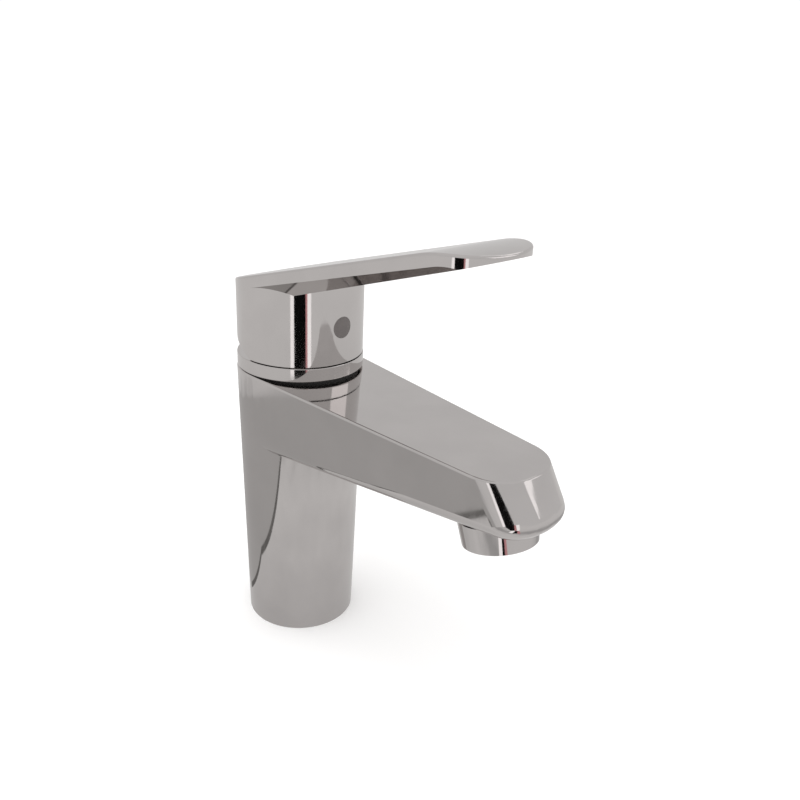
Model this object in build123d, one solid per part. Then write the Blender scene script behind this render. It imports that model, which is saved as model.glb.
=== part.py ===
from build123d import *
from math import cos, radians, sin, sqrt, tan
import os

# Single-lever basin mixer. Millimetres, +Z up.
# The origin is the centre of the base on the deck. The column stands on the Z axis,
# and the spout and the lever point along -Y.

# Column and spout
base_radius = 21.0
rim_wall = 1.6                 # column outside the neck ring
body_height = 105.5            # deck to the level rim around the cartridge
rim_edge_radius = 0.7
side_angle = 4.4               # how much each side of the spout closes in
spout_length = 108.5           # column axis to the upper front edge
nose_overhang = 9.0            # lower front edge beyond the upper one
nose_depth = 14.0              # height over which the nose leans out
spout_front_radius = 30.0
spout_corner_radius = 13.0
spout_fall = 2.63              # slope of the spout's top
underside_depth = 23.3         # rim to the underside at the outlet
underside_rise = 4.0           # slope of the underside
lower_edge_radius = 5.0

# Base and supply
base_cavity_wall = 1.0         # cavity to the base seal's groove
base_cavity_height = 45.0
base_seal_inset = 0.8          # base seal inside the column
base_seal_width = 1.6
base_seal_height = 1.5
inlet_spacing = 17.0
inlet_back = 3.0
inlet_thread_radius = 5.0
inlet_thread_depth = 12.0
waterway_radius = 3.5
stud_thread_radius = 4.0
stud_thread_depth = 14.0
stud_front = 9.5

# Cartridge
chamber_depth = 19.5           # rim to the chamber floor
cartridge_radius = 17.5
cartridge_gap = 0.15           # cartridge to chamber wall
seal_squeeze_height = 0.4      # base plate above the chamber floor
seal_groove = 0.6
port_seal_inset = 0.6          # port to the inside of its seal
port_seal_section = 1.0        # radial width of a port seal
port_radius = 3.0
port_spacing = 8.0             # port centres from the cartridge axis
cartridge_wall = 2.5           # housing around the base plate
base_plate_gap = 0.03
base_plate_thickness = 3.0
disc_inset = 2.2               # rim of the base plate to the rim of the discs
disc_thickness = 3.0
disc_bore_gap = 0.2
mixing_pocket = 9.0            # square pocket under the moving disc
mixing_depth = 1.8
shoulder_depth = 2.9           # rim to where the nut clamps the cartridge
shoulder_width = 3.5
neck_rise = 5.0                # rim to the top of the cartridge's neck
neck_wall = 3.1                # housing's neck around the rotor
rotor_gap = 0.08               # rotor in the neck
flange_inset = 0.1             # rotor's flange inside the fixed disc's rim
rotor_flange_thickness = 1.8
rotor_rise = 7.1
rotor_ring_section = 0.5       # O-ring section radius
ring_groove_depth = 0.5         # rim to the middle of the O-ring
ring_groove_gap = 0.15         # groove above and below the O-ring
ring_groove_clearance = 0.02   # O-ring to the groove's floor
lug_gap = 0.15                 # lugs that guide the carrier
pin_sink = 0.18                # pin's ends below the groove's floor
limiter_height = 1.4
limiter_margin = 0.5           # limiter around the rotor
limiter_teeth = 24
tooth_width = 0.9
tooth_depth = 0.4

# Lever stem
pivot_rise = 1.5               # rim to the pin the lever lifts on
lift_angle = 22.0
stem_width = 8.0
pin_radius = 2.0
pin_gap = 0.04
stem_slot_gap = 0.15
stem_slot_margin = 2.4         # end of the stem's slot to the rotor's outside
stem_rise = 24.0               # pivot to the stem's top
stem_chamfer = 0.8
arm_length = 8.0               # pivot to the ball that drives the carrier
arm_tip_radius = 1.6
arm_root_inset = 0.8           # arm's root inside the stem's sides
ball_radius = 2.3
ball_gap = 0.25
carrier_width = 15.0
carrier_thickness = 4.4
carrier_floor = 0.8            # under the ball's pocket
carrier_rim = 0.8              # carrier beyond the moving disc
moving_disc_radius = 9.6
face_gap = 0.05                # between parts that slide on each other

# Nut, neck ring and cover ring
nut_margin = 1.5               # nut's thread beyond the cartridge
thread_gap = 0.05
nut_rise = 4.5                 # rim to the nut's top
nut_collar_inset = 1.6
nut_hole_gap = 0.3
nut_relief = 0.5               # free thread below the nut
nut_sink = 0.2                 # nut's shoulder below the rim
nut_slots = 6
nut_slot_width = 3.0
nut_slot_depth = 1.6
neck_ring_width = 2.2
neck_ring_gap = 0.1
neck_ring_margin = 0.6         # neck ring outside the nut
neck_ring_depth = 1.6
neck_gap = 0.3                 # cover ring above the rim
cover_inset = 0.2              # cover ring inside the column's rim
cover_band_height = 4.9
cover_edge_radius = 0.3
dome_margin = 0.6              # dome, centred on the pivot, inside the skirt's wall
dome_wall = 1.5

# Lever
skirt_inset = 0.4              # skirt inside the column's rim
skirt_gap = 0.45               # skirt above the cover ring's band
skirt_wall = 2.2
lever_top_rise = 34.1          # pivot to the lever's top plane on the column axis
lever_rise = 15.4              # slope of the top plane
lever_length = 92.5            # column axis to the front edge
lever_side_angle = 2.9
lever_front_radius = 30.0
lever_corner_radius = 12.0
nose_start = 74.0              # where the top plane begins to curve down
nose_curve = 40.0              # radius of that curve
paddle_thickness = 9.7         # of the paddle, carried back to the axis
paddle_rise = 17.6             # slope of the paddle's underside
bevel_drop = 4.3               # top plane to the bevel along the paddle's sides
bevel_angle = 38.0
lever_edge_radius = 0.8
lever_roof = 4.5
boss_wall = 3.55               # boss outside the flats of the stem's socket
boss_rise = 12.0               # pivot to the socket's boss
socket_gap = 0.05
socket_roof = 0.6              # room above the stem
heel_gap = 0.27                # heel above the cover ring at full lift
heel_margin = 0.7              # extra tilt cut from the skirt's heel
screw_rise = 17.3              # pivot to the grub screw
screw_radius = 2.5
screw_length = 6.0
screw_gap = 0.02               # screw's point to the stem
key_radius = 1.45
key_depth = 3.0
web_width = 10.0               # web that holds the grub screw
plug_radius = 3.8
plug_depth = 2.4
plug_gap = 0.05

# Outlet and aerator
outlet_inset = 10.7            # spout's upper front edge to the middle of the outlet
outlet_drop = 8.2              # underside to the middle of the outlet
outlet_tilt = 13.0
aerator_radius = 12.9
aerator_taper = 0.8            # how much narrower the mouth is
aerator_skirt = 8.4            # part that shows below the spout
aerator_shoulder = 1.4         # barrel beyond the thread
aerator_thread_length = 6.0
aerator_wall = 1.5             # thread to the bore
aerator_lip_width = 0.8
aerator_lip_height = 0.9
aerator_edge_radius = 0.3
spotface_gap = 0.25
washer_thickness = 1.5
washer_width = 3.9
washer_gap = 0.1
insert_height = 6.0
insert_gap = 0.05
cell_pitch = 2.3
cell_gap = 0.55
cell_border = 1.38             # rim of the insert to the outermost cell centres
regulator_inset = 1.6          # regulator inside the bore
regulator_height = 2.6
regulator_holes = 8
regulator_hole_radius = 0.9
regulator_hole_inset = 2.2
screen_height = 1.0
screen_pitch = 2.0
screen_hole = 1.3
screen_border = 2.1            # rim of the screen to the outermost holes
channel_radius = 5.5
channel_depth = 13.5           # rim to the channel's middle
passage_radius = 4.0
passage_drop = 14.0            # chamber floor to the bottom of the mixed passage
passage_front = 36.0
outlet_well = 3.0              # bore above the washer

# Heights and places that follow from the sizes above
chamber_floor = body_height - chamber_depth
shoulder_height = body_height - shoulder_depth
neck_top = body_height + neck_rise
rotor_top = body_height + rotor_rise
ring_groove_height = body_height - ring_groove_depth
pivot_height = body_height + pivot_rise
stem_top = pivot_height + stem_rise
nut_top = body_height + nut_rise
neck_ring_seat = body_height - neck_ring_depth
lever_height = pivot_height + lever_top_rise
boss_bottom = pivot_height + boss_rise
screw_height = pivot_height + screw_rise
underside_height = body_height - underside_depth
outlet_height = underside_height - outlet_drop
channel_height = body_height - channel_depth
passage_low = chamber_floor - passage_drop
cover_bottom = body_height + neck_gap
base_seal_outer = base_radius - base_seal_inset
base_seal_inner = base_seal_outer - base_seal_width
base_cavity_radius = base_seal_inner - base_cavity_wall
outlet_reach = spout_length - outlet_inset
base_plate_radius = cartridge_radius - cartridge_wall
disc_radius = base_plate_radius - disc_inset
rotor_flange_radius = disc_radius - flange_inset
neck_radius = cartridge_radius - shoulder_width
rotor_radius = neck_radius - neck_wall
stem_slot_length = 2 * (rotor_radius - stem_slot_margin)
limiter_inner = rotor_radius + limiter_margin
arm_root_radius = stem_width / 2 - arm_root_inset
nut_radius = cartridge_radius + nut_margin
nut_collar_radius = nut_radius - nut_collar_inset
neck_ring_bore = nut_radius + neck_ring_margin
neck_ring_radius = neck_ring_bore + neck_ring_width
rim_radius = neck_ring_radius + rim_wall
cover_ring_radius = rim_radius - cover_inset
skirt_radius = rim_radius - skirt_inset
dome_radius = skirt_radius - skirt_wall - dome_margin
aerator_mouth_radius = aerator_radius - aerator_taper
aerator_thread_radius = aerator_radius - aerator_shoulder
aerator_bore = aerator_thread_radius - aerator_wall
aerator_lip = aerator_bore - aerator_lip_width
regulator_radius = aerator_bore - regulator_inset
washer_hole = aerator_thread_radius - washer_width - washer_gap
cover_top = cover_bottom + cover_band_height
skirt_bottom = cover_top + skirt_gap
plate_bottom = chamber_floor + seal_squeeze_height
plate_top = plate_bottom + base_plate_thickness
fixed_disc_top = plate_top + disc_thickness
moving_disc_bottom = fixed_disc_top + face_gap
moving_disc_top = moving_disc_bottom + disc_thickness
carrier_top = moving_disc_top + carrier_thickness
rotor_bottom = carrier_top + face_gap * 3
flange_top = rotor_bottom + rotor_flange_thickness
ball_height = pivot_height - arm_length
carrier_travel = arm_length * radians(lift_angle)
moving_disc_rest = carrier_travel / 2
housing_bore = disc_radius + disc_bore_gap
socket_top = stem_top + socket_roof
screw_inner = stem_width / 2 + screw_gap
boss_radius = stem_width / 2 + socket_gap + boss_wall
port_seal_outer = port_radius + port_seal_inset + port_seal_section
ring_groove_radius = rotor_radius - 2 * rotor_ring_section - ring_groove_clearance
nut_seat = shoulder_height - nut_relief
seat_top = aerator_skirt + aerator_thread_length + washer_thickness
outlet_plane = Plane(origin=(0, -outlet_reach, outlet_height), x_dir=(1, 0, 0),
                     z_dir=(0, sin(radians(outlet_tilt)), cos(radians(outlet_tilt))))
pivot_plane = Plane(origin=(0, 0, pivot_height), x_dir=(0, 1, 0), z_dir=(1, 0, 0))
screw_plane = Plane(origin=(0, 0, screw_height), x_dir=(1, 0, 0), z_dir=(0, -1, 0))
up = (Align.CENTER, Align.CENTER, Align.MIN)
corner_spare = 0.02            # keeps the two rounded corners of an outline apart
over = 5.0                     # how far a cutting solid reaches past its piece
bite = 1.0                     # how far solids that are joined reach into each other
large = 400.0                  # side of a trimming block, larger than the whole mixer


def tube(outer, inner, low, high, plane=Plane.XY):
    ring = Cylinder(outer, high - low, align=up) - Cylinder(inner, high - low, align=up)
    return plane * (Pos(0, 0, low) * ring)


def rod(radius, low, high, plane=Plane.XY):
    return plane * (Pos(0, 0, low) * Cylinder(radius, high - low, align=up))


def side_cut(points):
    """Solid across the whole width from an outline of (y, z) points."""
    face = make_face(Polyline([(0, y, z) for y, z in points], close=True))
    return extrude(face, large, dir=(1, 0, 0), both=True)


def plan_outline(radius, angle, front, front_radius, corner_radius, keep_back=True):
    """Round back of a given radius, tangent sides that close in, rounded front."""
    s, c = sin(radians(angle)), cos(radians(angle))
    tangent = (radius * c, -radius * s)
    centre = -front + front_radius
    along = tangent[0] * s + (tangent[1] - centre) * c
    rest = tangent[0] ** 2 + (tangent[1] - centre) ** 2 - front_radius ** 2
    run = along + sqrt(along ** 2 - rest)
    corner = (tangent[0] - run * s, tangent[1] - run * c)
    tip_width = corner[0] - (front + corner[1]) * s / c
    corner_radius = min(corner_radius, tip_width * c / (1 - s) - corner_spare)
    right, left = Vector(*tangent), Vector(-tangent[0], tangent[1])
    lower_right, lower_left = Vector(*corner), Vector(-corner[0], corner[1])
    back = ThreePointArc(left, Vector(0, radius), right) if keep_back else Line(left, right)
    edges = [Line(right, lower_right), ThreePointArc(lower_right, Vector(0, -front), lower_left),
             Line(lower_left, left), back]
    face = make_face(edges)
    corners = face.vertices().sort_by(Axis.Y)[:2]
    return fillet(corners, corner_radius)


def column_radius(height):
    return base_radius + (rim_radius - base_radius) * height / body_height


# Body casting ---------------------------------------------------------------

def spout_top(y):
    return body_height + min(y, 0.0) * tan(radians(spout_fall))


def underside(y):
    return underside_height + (-y - outlet_reach) * tan(radians(underside_rise))


def spout_shape():
    """Lofted spout whose sides are tangent to the tapered column."""
    sections = []
    for height in (underside(0) - over, body_height + over):
        lean = (spout_top(-spout_length) - height) / nose_depth * nose_overhang
        outline = plan_outline(column_radius(height), side_angle, spout_length + lean,
                               spout_front_radius, spout_corner_radius, keep_back=False)
        sections.append(Pos(0, 0, height) * outline)
    shape = loft(sections, ruled=True)
    far = spout_length + nose_overhang + over
    band = [(0, underside(0)), (-far, underside(-far)), (-far, spout_top(-far)), (0, body_height)]
    shape &= side_cut(band)
    under = shape.faces().filter_by(lambda f: f.normal_at().Z < -0.9).sort_by(Axis.Z)[0]
    soft = [e for e in under.edges() if e.center().Y < -rim_radius * sin(radians(side_angle)) - bite]
    return fillet(soft, lower_edge_radius)


def body_outside():
    """Column and spout in one, cut off at the level rim and the sloping top."""
    far = spout_length + nose_overhang + over
    high = body_height + over
    column = Cone(base_radius, column_radius(high), high, align=up)
    above = [(far, body_height), (0, body_height), (-far, spout_top(-far)), (-far, high + over),
             (far, high + over)]
    outside = (column + spout_shape()) - side_cut(above)
    rim = outside.faces().filter_by(lambda f: f.normal_at().Z > 0.9)
    outline = [e for f in rim for e in f.edges() if abs(e.center().Y) > 0.01]
    return fillet(outline, rim_edge_radius)


def waterways():
    """Two supplies up to the chamber floor, and the mixed way to the outlet."""
    cuts = []
    for side in (-1, 1):
        place = Pos(side * inlet_spacing / 2, inlet_back, 0)
        cuts.append(place * rod(inlet_thread_radius, base_cavity_height - bite,
                                base_cavity_height + inlet_thread_depth))
        cuts.append(place * rod(waterway_radius, base_cavity_height, chamber_floor + bite))
    start = Vector(0, -port_spacing, passage_low)
    end = Vector(0, -passage_front, channel_height)
    slant = Plane(origin=start, x_dir=(1, 0, 0), z_dir=end - start)
    level = Plane(origin=end, x_dir=(1, 0, 0), z_dir=(0, -1, 0))
    reach = outlet_reach - passage_front - seat_top * sin(radians(outlet_tilt))
    cuts.append(Pos(0, -port_spacing, 0) * rod(passage_radius, passage_low - passage_radius,
                                               chamber_floor + bite))
    cuts.append(rod(passage_radius, 0, (end - start).length, slant))
    cuts.append(rod(channel_radius, -passage_radius, reach + channel_radius, level))
    return cuts


def body_casting():
    body = body_outside()
    body -= rod(cartridge_radius + cartridge_gap, chamber_floor, body_height + over)
    body -= rod(nut_radius + thread_gap, nut_seat, body_height + over)
    body -= rod(neck_ring_radius + neck_ring_gap, neck_ring_seat, body_height + over)
    body -= rod(base_cavity_radius, -over, base_cavity_height)
    body -= tube(base_seal_outer, base_seal_inner, -over, base_seal_height)
    body -= Pos(0, stud_front, 0) * rod(stud_thread_radius, base_cavity_height - bite,
                                        base_cavity_height + stud_thread_depth)
    for cut in waterways():
        body -= cut
    body -= rod(aerator_radius + spotface_gap, 0, aerator_skirt, outlet_plane)
    body -= rod(aerator_thread_radius + thread_gap, 0, seat_top, outlet_plane)
    body -= rod(washer_hole, seat_top - bite, seat_top + outlet_well, outlet_plane)
    return body


def base_seal_ring():
    return tube(base_seal_outer, base_seal_inner, 0, base_seal_height)


# Cartridge ------------------------------------------------------------------

def port_places():
    """Hot, cold and mixed ports, in that order; hot is on the left for whoever uses it."""
    return [(-inlet_spacing / 2, inlet_back), (inlet_spacing / 2, inlet_back), (0, -port_spacing)]


def cartridge_housing():
    housing = rod(cartridge_radius, plate_bottom, shoulder_height)
    housing += rod(neck_radius, shoulder_height - bite, neck_top)
    housing -= rod(base_plate_radius + base_plate_gap, plate_bottom - over, plate_top)
    housing -= rod(housing_bore, plate_top - bite, flange_top + face_gap)
    housing -= rod(rotor_radius + rotor_gap, flange_top, neck_top + over)
    return housing


def cartridge_base_plate():
    plate = rod(base_plate_radius, plate_bottom, plate_top)
    for x, y in port_places():
        plate -= Pos(x, y, 0) * rod(port_radius, plate_bottom - over, plate_top + over)
        plate -= Pos(x, y, 0) * rod(port_seal_outer, plate_bottom - over,
                                    plate_bottom + seal_groove)
    return plate


def port_seals():
    rings = [Pos(x, y, 0) * tube(port_seal_outer, port_radius + port_seal_inset, chamber_floor,
                                 plate_bottom + seal_groove) for x, y in port_places()]
    return Compound(children=[ring.solid() for ring in rings])


def fixed_ceramic_disc():
    disc = rod(disc_radius, plate_top, fixed_disc_top)
    for x, y in port_places():
        disc -= Pos(x, y, 0) * rod(port_radius, plate_top - over, fixed_disc_top + over)
    return disc


def moving_ceramic_disc():
    place = Pos(0, moving_disc_rest, moving_disc_bottom)
    pocket = Box(mixing_pocket, mixing_pocket, mixing_depth, align=up)
    return place * (rod(moving_disc_radius, 0, disc_thickness) - pocket)


def disc_carrier():
    carrier = Pos(0, moving_disc_rest, 0) * rod(moving_disc_radius + carrier_rim,
                                                moving_disc_top, carrier_top)
    carrier &= Box(carrier_width, large, large)
    width = 2 * (ball_radius + ball_gap)
    return carrier - Pos(0, 0, moving_disc_top + carrier_floor) * Box(width, width, over, align=up)


def cartridge_rotor():
    rotor = rod(rotor_radius, rotor_bottom, rotor_top)
    rotor += rod(rotor_flange_radius, rotor_bottom, flange_top)
    lugs = rod(rotor_flange_radius, moving_disc_top + lug_gap, rotor_bottom + bite)
    rotor += lugs - Box(carrier_width + 2 * lug_gap, large, large)
    rotor -= Box(stem_width + 2 * stem_slot_gap, stem_slot_length, large)
    rotor -= tube(rotor_radius + over, ring_groove_radius,
                  ring_groove_height - rotor_ring_section - ring_groove_gap,
                  ring_groove_height + rotor_ring_section + ring_groove_gap)
    return rotor - rod(pin_radius, -rotor_radius - over, rotor_radius + over, pivot_plane)


def rotor_o_ring():
    ring = Torus(rotor_radius - rotor_ring_section, rotor_ring_section)
    return Pos(0, 0, ring_groove_height) * ring


def stem_pivot_pin():
    half = ring_groove_radius - pin_sink
    return rod(pin_radius, -half, half, pivot_plane)


def cartridge_stem():
    half = stem_width / 2
    shank = Pos(0, 0, pivot_height) * Box(stem_width, stem_width, stem_top - pivot_height,
                                          align=up)
    shank = chamfer(shank.faces().sort_by(Axis.Z)[-1].edges(), stem_chamfer)
    eye = rod(half, -half, half, pivot_plane)
    arm = Pos(0, 0, ball_height) * Cone(arm_tip_radius, arm_root_radius, arm_length, align=up)
    stem = shank + eye + arm + Pos(0, 0, ball_height) * Sphere(ball_radius)
    return stem - rod(pin_radius + pin_gap, -stem_width, stem_width, pivot_plane)


def temperature_limiter():
    ring = tube(neck_radius, limiter_inner, neck_top, neck_top + limiter_height)
    gap = Pos(neck_radius - tooth_depth, 0, neck_top) * Box(
        tooth_depth + over, tooth_width, limiter_height, align=(Align.MIN, Align.CENTER, Align.MIN))
    for k in range(limiter_teeth):
        ring -= Rot(0, 0, 360 / limiter_teeth * k) * gap
    return ring


# Nut and rings --------------------------------------------------------------

def retaining_nut():
    nut = rod(nut_radius, shoulder_height, body_height - nut_sink)
    nut += rod(nut_collar_radius, body_height - nut_sink - bite, nut_top)
    nut -= rod(neck_radius + nut_hole_gap, shoulder_height - over, nut_top + over)
    slot = Pos(neck_radius, 0, nut_top) * Box(
        nut_radius, nut_slot_width, nut_slot_depth, align=(Align.MIN, Align.CENTER, Align.MAX))
    for k in range(nut_slots):
        nut -= Rot(0, 0, 360 / nut_slots * k) * slot
    return nut


def neck_ring():
    return tube(neck_ring_radius, neck_ring_bore, neck_ring_seat, cover_bottom)


def cover_ring():
    """Band under the lever with a dome, centred on the pivot, that the skirt tilts over."""
    centre = Pos(0, 0, pivot_height)
    above_band = Pos(0, 0, cover_top - bite) * Box(large, large, dome_radius + over, align=up)
    above_nut = Pos(0, 0, nut_top - bite) * Box(large, large, dome_radius + over, align=up)
    ring = rod(cover_ring_radius, cover_bottom, cover_top)
    ring += (centre * Sphere(dome_radius)) & above_band
    ring -= (centre * Sphere(dome_radius - dome_wall)) & above_nut
    ring -= rod(nut_collar_radius + thread_gap, cover_bottom - over,
                pivot_height + dome_radius + over)
    edges = ring.edges().filter_by(GeomType.CIRCLE).filter_by(
        lambda e: abs(e.radius - cover_ring_radius) < 0.01)
    return fillet(edges, cover_edge_radius)


# Lever ----------------------------------------------------------------------

def lever_top(y):
    return lever_height - y * tan(radians(lever_rise))


def lever_slab(drop):
    """Everything from a given drop below the lever's top plane downwards."""
    far = lever_length + over
    return side_cut([(far, lever_top(far) - drop), (-far, lever_top(-far) - drop), (-far, 0),
                     (far, 0)])


def lever_crown():
    """Everything under the lever's top, which is flat and curves down at the nose."""
    start = Vector(0, -nose_start, lever_top(-nose_start))
    rise = radians(lever_rise)
    turn = 2 * rise + radians(paddle_rise)
    end = start + Vector(0, -nose_curve * (sin(rise) + sin(turn - rise)),
                         nose_curve * (cos(turn - rise) - cos(rise)))
    middle = start + Vector(0, -nose_curve * (sin(rise) + sin(turn / 2 - rise)),
                            nose_curve * (cos(turn / 2 - rise) - cos(rise)))
    back = skirt_radius + over
    heel = Vector(0, back, lever_top(back))
    edges = [Line(heel, start), ThreePointArc(start, middle, end),
             Line(end, Vector(0, end.Y, 0)), Line(Vector(0, end.Y, 0), Vector(0, back, 0)),
             Line(Vector(0, back, 0), heel)]
    return extrude(make_face(edges), large, dir=(1, 0, 0), both=True)


def side_bevel(side):
    """Wedge that takes the lower corner off one side of the paddle."""
    wall = skirt_radius / cos(radians(lever_side_angle))
    line = lever_top(0) - bevel_drop
    deep = wall * tan(radians(bevel_angle))
    points = [(side * (wall + bite), line + bite * tan(radians(bevel_angle))),
              (0, line - deep), (side * (wall + bite), line - deep)]
    wedge = make_face(Polyline([(x, 0, z) for x, z in points], close=True))
    along = Vector(-side * tan(radians(lever_side_angle)), -1, tan(radians(lever_rise)))
    return extrude(wedge, (lever_length + over) * along.length, dir=along)


def paddle():
    """Plan outline between the crown and the underside, with bevelled sides."""
    far = lever_length + over
    plan = plan_outline(skirt_radius, lever_side_angle, lever_length, lever_front_radius,
                        lever_corner_radius)
    low = lever_top(0) - paddle_thickness
    under = side_cut([(far, low), (0, low), (-far, low + far * tan(radians(paddle_rise))),
                      (-far, 0), (far, 0)])
    shape = (extrude(plan, lever_top(-far)) & lever_crown()) - under
    return shape - side_bevel(-1) - side_bevel(1)


def skirt():
    return rod(skirt_radius, skirt_bottom, lever_top(-skirt_radius)) & lever_crown()


def heel_cut():
    """What the back of the skirt must lose to lean down over the cover ring."""
    tilt = radians(lift_angle + heel_margin)
    below = pivot_height - cover_top - heel_gap
    start = (below - below * cos(tilt)) / sin(tilt)
    far = skirt_radius + over
    points = [(start, 0), (start, pivot_height - below),
              (far, pivot_height + (far * sin(tilt) - below) / cos(tilt)), (far, 0)]
    return side_cut(points)


def lever_hollow():
    room = rod(skirt_radius - skirt_wall, skirt_bottom - over, lever_top(-skirt_radius))
    room &= lever_slab(lever_roof)
    boss = rod(boss_radius, boss_bottom, lever_top(-skirt_radius))
    web = Pos(0, 0, boss_bottom) * Box(web_width, skirt_radius, large,
                                       align=(Align.CENTER, Align.MAX, Align.MIN))
    return room - boss - web


def crown_edges(shape):
    """Outline of the flat top and of the curved nose, without the seam between them."""
    top = shape.faces().filter_by(lambda f: f.normal_at().Z > 0.9).sort_by(SortBy.AREA)[-2:]
    seam = Vector(0, -nose_start, lever_top(-nose_start))
    return [e for f in top for e in f.edges() if (e @ 0.5 - seam).length > bite]


def lever_handle():
    lever = skirt() + paddle()
    lever = fillet(crown_edges(lever), lever_edge_radius)
    lever -= lever_hollow()
    lever -= heel_cut()
    socket = stem_width + 2 * socket_gap
    lever -= Pos(0, 0, boss_bottom - over) * Box(socket, socket, socket_top - boss_bottom + over,
                                                 align=up)
    lever -= rod(screw_radius + thread_gap, 0, skirt_radius, screw_plane)
    lever -= rod(plug_radius + plug_gap, skirt_radius - plug_depth, skirt_radius + over,
                 screw_plane)
    return lever


def grub_screw():
    tip = screw_inner + screw_length
    key = extrude(screw_plane * Pos(0, 0, tip) * RegularPolygon(key_radius, 6), -key_depth)
    return rod(screw_radius, screw_inner, tip, screw_plane) - key


def indicator_plug():
    plug = rod(plug_radius, skirt_radius - plug_depth, skirt_radius + over, screw_plane)
    return plug & rod(skirt_radius - plug_gap, screw_height - skirt_radius,
                      screw_height + skirt_radius)


# Aerator --------------------------------------------------------------------

def aerator_housing():
    housing = outlet_plane * Cone(aerator_mouth_radius, aerator_radius, aerator_skirt, align=up)
    thread_top = aerator_skirt + aerator_thread_length
    housing += rod(aerator_thread_radius, aerator_skirt - bite, thread_top, outlet_plane)
    housing -= rod(aerator_lip, -over, thread_top + over, outlet_plane)
    housing -= rod(aerator_bore, aerator_lip_height, thread_top + over, outlet_plane)
    mouth = housing.edges().sort_by_distance(outlet_plane.origin)[:2]
    return fillet(mouth, aerator_edge_radius)


def honeycomb():
    """Hexagonal cells on a triangular lattice, inside the insert's rim."""
    rows = int(aerator_lip / cell_pitch) + 1
    cell = RegularPolygon((cell_pitch - cell_gap) / sqrt(3), 6, rotation=30)
    cells = []
    for i in range(-rows, rows + 1):
        for j in range(-rows, rows + 1):
            x = cell_pitch * (i + j / 2)
            y = cell_pitch * j * sqrt(3) / 2
            if sqrt(x * x + y * y) < aerator_lip - cell_border:
                cells.append(Pos(x, y) * cell)
    return Sketch(children=cells)


def aerator_insert():
    low = aerator_lip_height
    insert = rod(aerator_bore - insert_gap, low, low + insert_height, outlet_plane)
    return insert - extrude(outlet_plane.offset(low - bite) * honeycomb(),
                            insert_height + 2 * bite)


def flow_regulator():
    low = aerator_lip_height + insert_height
    disc = rod(regulator_radius, low, low + regulator_height, outlet_plane)
    for k in range(regulator_holes):
        spot = outlet_plane * Rot(0, 0, 360 / regulator_holes * k)
        spot *= Pos(regulator_radius - regulator_hole_inset, 0, 0)
        disc -= spot * rod(regulator_hole_radius, low - bite, low + regulator_height + bite)
    return disc


def aerator_screen():
    low = aerator_lip_height + insert_height + regulator_height
    disc = rod(aerator_bore - insert_gap, low, low + screen_height, outlet_plane)
    rows = int(aerator_bore / screen_pitch)
    steps = [screen_pitch * k for k in range(-rows, rows + 1)]
    hole = Rectangle(screen_hole, screen_hole)
    holes = Sketch(children=[Pos(x, y) * hole for x in steps for y in steps
                             if sqrt(x * x + y * y) < aerator_bore - screen_border])
    return disc - extrude(outlet_plane.offset(low - bite) * holes, screen_height + 2 * bite)


def aerator_washer():
    low = aerator_skirt + aerator_thread_length
    return tube(aerator_thread_radius - washer_gap, washer_hole, low, low + washer_thickness,
                outlet_plane)


makers = [body_casting, base_seal_ring, cartridge_housing, cartridge_base_plate, port_seals,
          fixed_ceramic_disc, moving_ceramic_disc, disc_carrier, cartridge_rotor, rotor_o_ring,
          cartridge_stem, stem_pivot_pin, temperature_limiter, retaining_nut, neck_ring,
          cover_ring, lever_handle, grub_screw, indicator_plug, aerator_housing,
          aerator_insert, flow_regulator, aerator_screen, aerator_washer]

os.makedirs("parts", exist_ok=True)
for make in makers:
    shape = make()
    print(make.__name__, "solids", len(shape.solids()), "volume", round(shape.volume, 1))
    export_step(shape, f"parts/{make.__name__}.step")
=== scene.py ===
# %% [markdown]
# # A single-lever basin mixer in polished chrome
# This lesson dresses a finished mechanical model. The metal parts arrive with their true
# shapes and places, as a fixed frame, so nothing here moves or resizes them. What is left
# to do is what the eye judges: finishes, small made details, light and the camera.
# Chrome has almost no colour of its own. It shows the room, so most of the work lies in
# what stands around the mixer.

# %% Load the fixed frame
import bpy
from math import cos, pi, radians, sin
from mathutils import Matrix, Vector

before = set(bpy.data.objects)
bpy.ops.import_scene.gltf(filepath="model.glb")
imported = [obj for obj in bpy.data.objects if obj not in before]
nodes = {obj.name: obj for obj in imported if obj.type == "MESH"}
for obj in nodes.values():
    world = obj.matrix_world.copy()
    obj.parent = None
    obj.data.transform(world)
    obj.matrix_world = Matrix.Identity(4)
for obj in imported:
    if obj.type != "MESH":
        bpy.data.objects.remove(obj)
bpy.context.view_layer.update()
print("pieces in the frame:", len(nodes))

# %% [markdown]
# ## The camera
# The mixer is seen from its left front and from above, at about 22 degrees. A camera in
# Blender looks along its own -Z with +Y up, so it is easiest to build the three axes from
# the viewing angles and to put them into one matrix. A moderate 36 mm lens keeps the
# slight convergence that a close view has.

# %% Place the camera
CAMERA_PLACE = Vector((-0.17841, -0.22134, 0.20620))
CAMERA_TURN = radians(-46.5)
CAMERA_DIP = radians(22.1)
CAMERA_ROLL = radians(2.75)


def camera_axes(turn, dip, roll):
    """The camera's right, up and back directions."""
    ahead = Vector((-sin(turn) * cos(dip), cos(turn) * cos(dip), -sin(dip)))
    right = ahead.cross(Vector((0, 0, 1))).normalized()
    above = right.cross(ahead)
    rolled_right = right * cos(roll) + above * sin(roll)
    rolled_up = above * cos(roll) - right * sin(roll)
    return rolled_right, rolled_up, -ahead


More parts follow.
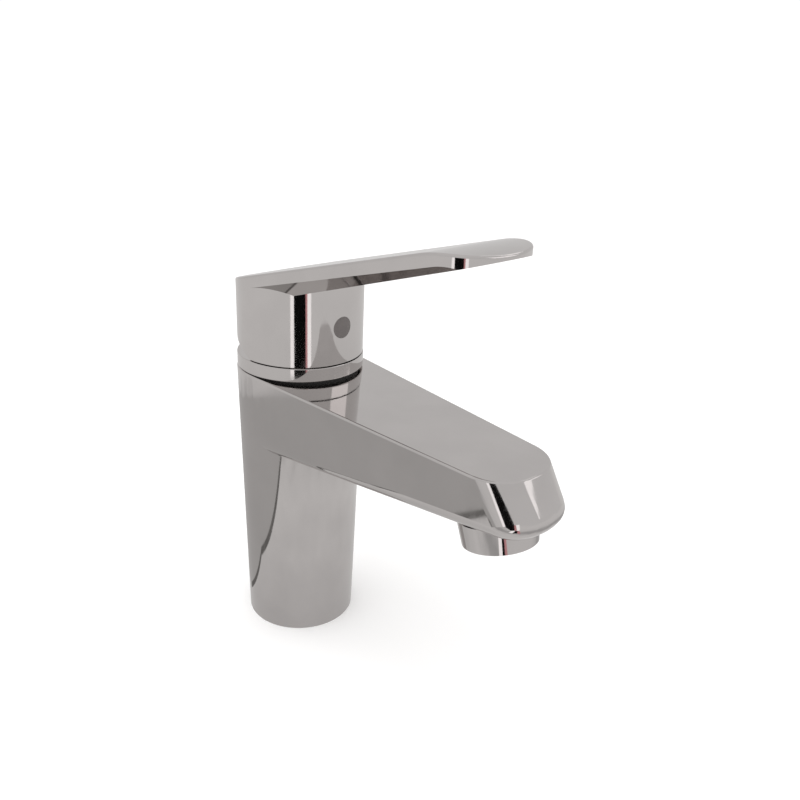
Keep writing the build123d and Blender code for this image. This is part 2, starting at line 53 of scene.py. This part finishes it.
camera_data = bpy.data.cameras.new("camera")
camera_data.lens = 35.97
camera_data.sensor_width = 36.0
camera_data.clip_start = 0.01
camera = bpy.data.objects.new("camera", camera_data)
right, above, back = camera_axes(CAMERA_TURN, CAMERA_DIP, CAMERA_ROLL)
camera.matrix_world = Matrix.Translation(CAMERA_PLACE) @ Matrix(
    (right, above, back)).transposed().to_4x4()
bpy.context.scene.collection.objects.link(camera)
bpy.context.scene.camera = camera
print("camera is", round(CAMERA_PLACE.length, 3), "m from the base")

# %% [markdown]
# ## A small kit for materials
# Every finish below is a node tree. These helpers add a node, join two sockets and give
# noise in the object's own metres, so that a scratch or a ripple has a real size. Object
# coordinates are steady here, because every piece keeps its place in its vertices.

# %% Helpers for node trees
class Finish:
    """A material with a Principled shader, and short names for its nodes."""

    def __init__(self, name):
        self.material = bpy.data.materials.new(name)
        self.material.use_nodes = True
        self.tree = self.material.node_tree
        self.shader = self.tree.nodes["Principled BSDF"]
        self.place = self.add("ShaderNodeTexCoord").outputs["Object"]

    def add(self, kind, **values):
        node = self.tree.nodes.new(kind)
        for name, value in values.items():
            setattr(node, name, value)
        return node

    def join(self, source, target):
        self.tree.links.new(source, target)

    def set(self, **values):
        for name, value in values.items():
            self.shader.inputs[name.replace("_", " ")].default_value = value

    def noise(self, size, detail=2.0, roughness=0.5, stretch=(1, 1, 1)):
        """Noise whose features are about the given size in metres."""
        mapping = self.add("ShaderNodeMapping")
        mapping.inputs["Scale"].default_value = [s / size for s in stretch]
        self.join(self.place, mapping.inputs["Vector"])
        node = self.add("ShaderNodeTexNoise")
        node.inputs["Scale"].default_value = 1.0
        node.inputs["Detail"].default_value = detail
        node.inputs["Roughness"].default_value = roughness
        self.join(mapping.outputs["Vector"], node.inputs["Vector"])
        return node.outputs["Fac"]

    def spread(self, source, low, high, start=0.3, end=0.7):
        """Maps a 0 to 1 pattern onto a range of values."""
        node = self.add("ShaderNodeMapRange")
        node.inputs["From Min"].default_value = start
        node.inputs["From Max"].default_value = end
        node.inputs["To Min"].default_value = low
        node.inputs["To Max"].default_value = high
        self.join(source, node.inputs["Value"])
        return node.outputs["Result"]

    def colours(self, source, stops):
        """Colour ramp over a pattern, from (place, colour) stops."""
        node = self.add("ShaderNodeValToRGB")
        ramp = node.color_ramp
        ramp.elements[0].position, ramp.elements[1].position = stops[0][0], stops[-1][0]
        ramp.elements[0].color = (*stops[0][1], 1)
        ramp.elements[1].color = (*stops[-1][1], 1)
        for place, colour in stops[1:-1]:
            ramp.elements.new(place).color = (*colour, 1)
        self.join(source, node.inputs["Fac"])
        return node.outputs["Color"]

    def relief(self, source, height, strength=1.0):
        """Bump of a given height in metres, on top of any relief already there."""
        bump = self.add("ShaderNodeBump")
        bump.inputs["Strength"].default_value = strength
        bump.inputs["Distance"].default_value = height
        self.join(source, bump.inputs["Height"])
        socket = self.shader.inputs["Normal"]
        if socket.is_linked:
            self.join(socket.links[0].from_socket, bump.inputs["Normal"])
        self.join(bump.outputs["Normal"], socket)


dressed = set()


def dress(finish, *names):
    """Gives one finish to whole CAD nodes."""
    dressed.update(names)
    for name in names:
        mesh = nodes[name].data
        mesh.materials.clear()
        mesh.materials.append(finish.material)


# %% [markdown]
# ## Polished chrome
# Chrome plating on a buffed casting is a mirror, but not a perfect one. Buffing leaves a
# ripple a centimetre or two long and some micrometres high, which makes straight
# reflections swim a little. Fine wiping marks vary the gloss. Both are noise here: a long
# weak bump and a narrow range of roughness. A texture could do the same, but noise needs
# no unwrapping and has a true size. The colour is the metal's own grey reflectance, made a
# little warmer than neutral; that warmth is painted, a tint standing for warm room light.

# %% Chrome
# chromium's own grey, with a painted warm tint that stands for warm light reflected from the room
CHROME_GREY_WITH_PAINTED_WARMTH = (0.62, 0.597, 0.588)


def polished_chrome(name, ripple):
    chrome = Finish(name)
    chrome.set(Metallic=1.0)
    tone = [tuple(0.97 * c for c in CHROME_GREY_WITH_PAINTED_WARMTH), tuple(1.03 * c for c in CHROME_GREY_WITH_PAINTED_WARMTH)]
    cloud = chrome.noise(0.018, detail=3)
    chrome.join(chrome.colours(cloud, [(0.3, tone[0]), (0.7, tone[1])]),
                chrome.shader.inputs["Base Color"])
    wiping = chrome.noise(0.0022, detail=6, roughness=0.65, stretch=(1, 1, 0.25))
    chrome.join(chrome.spread(wiping, 0.035, 0.095), chrome.shader.inputs["Roughness"])
    chrome.relief(chrome.noise(0.016, detail=1), ripple)
    chrome.relief(chrome.noise(0.0006, detail=2), 0.0000004)
    return chrome


cast_chrome = polished_chrome("chrome_on_brass_casting", 0.00002)
lever_chrome = polished_chrome("chrome_on_lever", 0.000012)
turned_chrome = polished_chrome("chrome_on_turned_brass", 0.000006)
dress(cast_chrome, "body_casting")
dress(lever_chrome, "lever_handle")
dress(turned_chrome, "cover_ring", "aerator_housing")
print("pieces with a finish so far:", len(dressed))

# %% [markdown]
# ## Raw brass and steel
# The nut is turned brass without plating. The stem, its pin, the grub screw and the
# aerator's screen are stainless steel. Turning leaves fine rings around the axis. Noise
# that is squeezed along Z and stretched around the part gives rings without any images.

# %% Brass and steel
def turned_metal(name, light, dark, groove):
    metal = Finish(name)
    metal.set(Metallic=1.0)
    rings = metal.noise(0.00035, detail=3, stretch=(0.04, 0.04, 1))
    tone = metal.noise(0.006, detail=4)
    metal.join(metal.colours(tone, [(0.3, dark), (0.7, light)]),
               metal.shader.inputs["Base Color"])
    metal.join(metal.spread(rings, 0.18, 0.36), metal.shader.inputs["Roughness"])
    metal.relief(rings, groove)
    return metal


brass = turned_metal("turned_brass", (0.66, 0.50, 0.25), (0.52, 0.37, 0.17), 0.000008)
steel = turned_metal("stainless_steel", (0.60, 0.59, 0.57), (0.47, 0.46, 0.45), 0.000005)
dress(brass, "retaining_nut")
dress(steel, "cartridge_stem", "stem_pivot_pin", "grub_screw", "aerator_screen")
print("pieces with a finish so far:", len(dressed))

# %% [markdown]
# ## Plastics, ceramic and rubber
# The cartridge is moulded in white and grey plastic, and its discs are lapped ceramic.
# A moulded skin has a fine pebbled texture and a slight glow from light that enters it,
# which subsurface scattering gives. Rubber is darker and duller, with a dusty bloom.
# The neck ring under the cover is a black moulding. Its near-black tone is partly its own black
# and partly painted shade of the gap under the cover, so it shows as a dark line.

# %% Moulded, lapped and rubber finishes
def moulded(name, light, dark, gloss, pebble, glow=0.0):
    plastic = Finish(name)
    cloud = plastic.noise(0.004, detail=5)
    plastic.join(plastic.colours(cloud, [(0.3, dark), (0.7, light)]),
                 plastic.shader.inputs["Base Color"])
    grain = plastic.noise(0.00025, detail=3)
    plastic.join(plastic.spread(grain, gloss - 0.05, gloss + 0.08),
                 plastic.shader.inputs["Roughness"])
    plastic.relief(grain, pebble)
    plastic.set(Subsurface_Weight=glow, Subsurface_Scale=0.0006)
    return plastic


white_plastic = moulded("white_plastic", (0.84, 0.83, 0.79), (0.76, 0.75, 0.71), 0.38, 4e-6, 0.15)
grey_plastic = moulded("grey_plastic", (0.44, 0.45, 0.46), (0.36, 0.37, 0.38), 0.42, 5e-6, 0.05)
# near black: the neck ring's own black plus painted shade of the gap under the cover
black_plastic_and_painted_gap_shade = moulded("black_plastic_and_painted_gap_shade", (0.012, 0.012, 0.012), (0.006, 0.006, 0.006), 0.5, 6e-6)
ceramic = moulded("lapped_ceramic", (0.88, 0.88, 0.86), (0.83, 0.83, 0.81), 0.10, 0.5e-6, 0.1)
rubber = moulded("black_rubber", (0.030, 0.029, 0.029), (0.016, 0.016, 0.016), 0.68, 1e-5)
dress(white_plastic, "cartridge_housing", "cartridge_rotor", "flow_regulator")
dress(grey_plastic, "cartridge_base_plate", "disc_carrier", "temperature_limiter",
      "aerator_insert")
# the neck ring's near black is partly painted shade of the gap under the cover
dress(black_plastic_and_painted_gap_shade, "neck_ring")
dress(ceramic, "fixed_ceramic_disc", "moving_ceramic_disc")
dress(rubber, "base_seal_ring", "port_seals", "rotor_o_ring", "aerator_washer")
print("pieces with a finish so far:", len(dressed))

# %% [markdown]
# ## The indicator plug
# A small round plug closes the grub screw's hole in the skirt. It is a satin grey with a
# brownish cast, and it mirrors almost nothing beside the bright chrome.

# %% Plug finish
plug_grey = moulded("plug_grey", (0.168, 0.150, 0.145), (0.150, 0.134, 0.130), 0.36, 3e-6)
dress(plug_grey, "indicator_plug")
print("pieces with a finish:", len(dressed), "of", len(nodes))

# %% [markdown]
# ## Floor, world and light
# A pale floor and an evenly bright world stand in for a studio. Chrome needs shapes to
# mirror, so dark and bright cards stand around the mixer. They are hidden from the camera
# and only seen in the metal, as the flags and reflectors of a studio are. The floor glows
# a little, so that it fades into the white behind it and keeps only a faint shadow.

# %% Stage helpers
stage_pieces = []


def plain(name, colour, glow, roughness=0.9):
    """Paint that is lit by the studio and glows by a share of its own colour."""
    finish = Finish(name)
    finish.set(Base_Color=(*colour, 1), Roughness=roughness, Emission_Color=(*colour, 1),
               Emission_Strength=glow)
    return finish.material


def glowing(name, colour):
    """Even tone that needs no light."""
    finish = Finish(name)
    finish.set(Base_Color=(0, 0, 0, 1), Roughness=1.0, Specular_IOR_Level=0.0,
               Emission_Color=(*colour, 1), Emission_Strength=1.0)
    return finish.material


def sheet(name, points, material):
    """Flat polygon, already linked to the scene and listed among the stage pieces."""
    mesh = bpy.data.meshes.new(name)
    mesh.from_pydata(points, [], [tuple(range(len(points)))])
    mesh.materials.append(material)
    piece = bpy.data.objects.new(name, mesh)
    bpy.context.scene.collection.objects.link(piece)
    stage_pieces.append(piece)
    return piece


def rectangle(width, height):
    w, h = width / 2, height / 2
    return [(-w, -h, 0), (w, -h, 0), (w, h, 0), (-w, h, 0)]


def mirrored_only(piece):
    """Hides a sheet from all but mirrored rays."""
    piece.visible_camera = False
    piece.visible_shadow = False
    piece.visible_diffuse = False


def card(name, centre, aim, width, height, material):
    """Rectangle that faces a point and that only reflections see."""
    piece = sheet(name, rectangle(width, height), material)
    facing = (Vector(aim) - Vector(centre)).to_track_quat("Z", "Y").to_matrix().to_4x4()
    piece.matrix_world = Matrix.Translation(centre) @ facing
    mirrored_only(piece)


# %% Floor and world
FLOOR_SIDE = 18.0
FLOOR_GREY = 0.93
FLOOR_GLOW = 0.07
SKY_TINT = (1.0, 0.99, 0.985)
SKY_STRENGTH = 1.06

floor = sheet("floor", rectangle(FLOOR_SIDE, FLOOR_SIDE),
              plain("floor_paint", (FLOOR_GREY, FLOOR_GREY, FLOOR_GREY), FLOOR_GLOW))
floor.visible_glossy = False
world = bpy.data.worlds.new("studio")
bpy.context.scene.world = world
world.use_nodes = True
sky = world.node_tree.nodes["Background"]
sky.inputs["Color"].default_value = (*SKY_TINT, 1)
sky.inputs["Strength"].default_value = SKY_STRENGTH
bpy.context.scene.view_settings.view_transform = "Standard"
print("floor is", FLOOR_SIDE, "m wide")

# %% [markdown]
# ## What the chrome sees
# Polished chrome would mirror the white room as flat white. A grey floor and a grey dome
# that only reflections see give it the calm mid grey of a dim studio, while the picture's
# own background stays white. The dome is a ring of tall panels with a lid.

# %% Grey surroundings for reflections
SURROUND = (0.66, 0.652, 0.648)
LID_GAIN = 1.06
DOME_SIDES = 12
DOME_RADIUS = 1.6
DOME_HEIGHT = 2.2
PANEL_OVERLAP = 1.1

surround_grey = glowing("surround_grey", SURROUND)
lid_grey = glowing("lid_grey", tuple(LID_GAIN * c for c in SURROUND))
panel_width = 2 * PANEL_OVERLAP * DOME_RADIUS * sin(pi / DOME_SIDES)
dome_middle = Vector((0, 0, DOME_HEIGHT / 2))
for k in range(DOME_SIDES):
    angle = 2 * pi * k / DOME_SIDES
    out = Vector((cos(angle), sin(angle), 0)) * DOME_RADIUS
    card(f"dome_panel_{k}", dome_middle + out, dome_middle, panel_width, DOME_HEIGHT,
         surround_grey)
card("dome_lid", (0, 0, DOME_HEIGHT), (0, 0, 0), 2 * DOME_RADIUS, 2 * DOME_RADIUS, lid_grey)
print("stage pieces:", len(stage_pieces))

# %% [markdown]
# ## Mottled ground for reflections
# A column is a tall mirror of the floor in front of it: the higher the point, the farther
# the floor that it shows. So tone that changes with distance on the floor becomes shading
# up the column and down the sides of the spout. The ground is darkest about 0.2 m out,
# where the spout's sides and the upper column look. Noise breaks up the rings.

# %% Ground that only reflections see
GROUND_SIDE = 3.4
GROUND_DROP = 0.0005
RING_TONES = [(0.000, 0.54), (0.070, 0.64), (0.115, 0.70), (0.150, 0.66), (0.185, 0.44),
              (0.210, 0.42), (0.240, 0.56), (0.270, 0.66), (0.420, 0.70), (0.700, 0.70)]
RING_WAVER = 0.02
MOTTLE_SIZE = 0.05
WARMTH = (1.0, 0.985, 0.975)


def ground_tones():
    """Emission whose tone follows the distance from the mixer, with a wavering edge."""
    ground = Finish("ground_tones")
    far = ground.add("ShaderNodeVectorMath", operation="LENGTH")
    ground.join(ground.place, far.inputs[0])
    waver = ground.spread(ground.noise(MOTTLE_SIZE, detail=4), -RING_WAVER, RING_WAVER)
    shifted = ground.add("ShaderNodeMath", operation="ADD")
    ground.join(far.outputs["Value"], shifted.inputs[0])
    ground.join(waver, shifted.inputs[1])
    reach = RING_TONES[-1][0]
    share = ground.spread(shifted.outputs["Value"], 0.0, 1.0, 0.0, reach)
    stops = [(place / reach, tuple(tone * w for w in WARMTH)) for place, tone in RING_TONES]
    ground.set(Base_Color=(0, 0, 0, 1), Roughness=1.0, Specular_IOR_Level=0.0,
               Emission_Strength=1.0)
    ground.join(ground.colours(share, stops), ground.shader.inputs["Emission Color"])
    return ground.material


card("ground", (0, 0, -GROUND_DROP), (0, 0, 1), GROUND_SIDE, GROUND_SIDE, ground_tones())
print("rings of tone on the ground:", len(RING_TONES))

# %% [markdown]
# ## Patches on the mirrored ground
# Distances on the ground are easiest to give along the line to the camera and across it.
# The patch on the left makes the darker left part of the column, and the thin strip along
# its edge becomes the curved dark line that runs down the metal. The small black patch
# farther out shows in the aerator, with a bright and a warm one beside it.

# %% Tones of the cards and patches
left_grey = glowing("left_grey", (0.46, 0.452, 0.445))
edge_dark = glowing("edge_dark", (0.16, 0.155, 0.15))
black_card = glowing("black_card", (0.004, 0.004, 0.004))
white_card = glowing("white_card", (1.25, 1.22, 1.22))
red_card = glowing("red_card", (0.60, 0.30, 0.31))
toward_camera = Vector((CAMERA_PLACE.x, CAMERA_PLACE.y, 0)).normalized()
beside = Vector((-toward_camera.y, toward_camera.x, 0))
print("camera direction on the ground:", [round(v, 3) for v in toward_camera])

# %% Ground patches
LEFT_GROUND_HEIGHT = -0.0003
EDGE_LINE_HEIGHT = -0.0002
AERATOR_MARK_HEIGHT = 0.0001
AERATOR_MARK = (0.235, 0.062)
AERATOR_MARK_HALF = 0.06


def ground_patch(name, corners, height, material):
    """Flat polygon from (toward the camera, beside) distances in metres."""
    points = [toward_camera * near + beside * across for near, across in corners]
    mirrored_only(sheet(name, [(p.x, p.y, height) for p in points], material))


ground_patch("left_ground", [(-0.005, -0.028), (0.012, -0.063), (0.155, -0.104),
                             (0.20, -0.118), (0.16, -0.18), (0.08, -0.225), (0.0, -0.24),
                             (-0.1, -0.22), (-0.2, -0.14), (-0.24, -0.028)],
             LEFT_GROUND_HEIGHT, left_grey)
ground_patch("edge_line", [(-0.005, -0.028), (0.012, -0.060), (0.155, -0.100),
                           (0.155, -0.107), (0.012, -0.067), (-0.008, -0.031)],
             EDGE_LINE_HEIGHT, edge_dark)
near, across = AERATOR_MARK
for name, low, high, tone in (("aerator_dark", -0.010, 0.010, black_card),
                              ("aerator_left", -0.034, -0.010, white_card),
                              ("aerator_right", 0.010, 0.030, red_card)):
    ends = (near - AERATOR_MARK_HALF, near + AERATOR_MARK_HALF)
    corners = [(ends[0], across + low), (ends[1], across + low), (ends[1], across + high),
               (ends[0], across + high)]
    ground_patch(name, corners, AERATOR_MARK_HEIGHT, tone)
print("stage pieces:", len(stage_pieces))

# %% [markdown]
# ## Dark and bright cards
# One black card stands low in front of the mixer. It makes the dark bar down the middle
# of the lever's skirt and the dark diamond on the spout's corner. A white strip stands at
# each side of it, and a narrow red one gives the thin warm line that a lamp or a sleeve
# leaves. Two small reflectors light the nose of the spout and the lever's tip.

# %% Cards around the mixer
FLAG_FAR = 0.30
FLAG_WIDTH = 0.12
FLAG_HEIGHT = 0.13
STRIP_WIDTH = 0.035
RED_WIDTH = 0.016
RED_AHEAD = 0.004              # the red strip hangs in front of the black card
flag_aim = Vector((0, 0, FLAG_HEIGHT / 2))
flag_middle = toward_camera * FLAG_FAR + flag_aim
card("flag", flag_middle, flag_aim, FLAG_WIDTH, FLAG_HEIGHT, black_card)
for side in (-1, 1):
    offset = beside * side * (FLAG_WIDTH + STRIP_WIDTH) / 2
    card(f"strip_{side}", flag_middle + offset, flag_aim, STRIP_WIDTH, FLAG_HEIGHT, white_card)
red_offset = beside * (FLAG_WIDTH - RED_WIDTH) / 2 - toward_camera * RED_AHEAD
card("red_strip", flag_middle + red_offset, flag_aim, RED_WIDTH, FLAG_HEIGHT, red_card)

# %% Reflectors for the spout's nose and the lever's tip
NOSE = (0, -0.11, 0.10)
NOSE_REFLECTOR_PLACE = (0.50, -0.60, 0.52)
NOSE_REFLECTOR_SIZE = (0.55, 0.34)
LEVER_TIP = (0, -0.085, 0.162)
TIP_REFLECTOR_PLACE = (0.195, -0.035, 0.31)
TIP_REFLECTOR_SIZE = (0.10, 0.05)
card("nose_reflector", NOSE_REFLECTOR_PLACE, NOSE, *NOSE_REFLECTOR_SIZE, white_card)
card("tip_reflector", TIP_REFLECTOR_PLACE, LEVER_TIP, *TIP_REFLECTOR_SIZE, white_card)
print("stage pieces:", len(stage_pieces))

# %% [markdown]
# ## Key light
# One large soft lamp overhead gives the faint shadow that sets the mixer on the floor. It
# is hidden from reflections, because the cards already draw what the chrome shows.

# %% Overhead lamp
KEY_SIDE = 0.9
KEY_WATTS = 4.0
KEY_PLACE = Vector((-0.25, -0.1, 1.1))
key_data = bpy.data.lights.new("overhead", "AREA")
key_data.shape = "SQUARE"
key_data.size = KEY_SIDE
key_data.energy = KEY_WATTS
key = bpy.data.objects.new("overhead", key_data)
key.location = KEY_PLACE
key.rotation_euler = (-KEY_PLACE).to_track_quat("-Z", "Y").to_euler()
key.visible_glossy = False
bpy.context.scene.collection.objects.link(key)
print("lamp is", round(KEY_PLACE.length, 2), "m away")
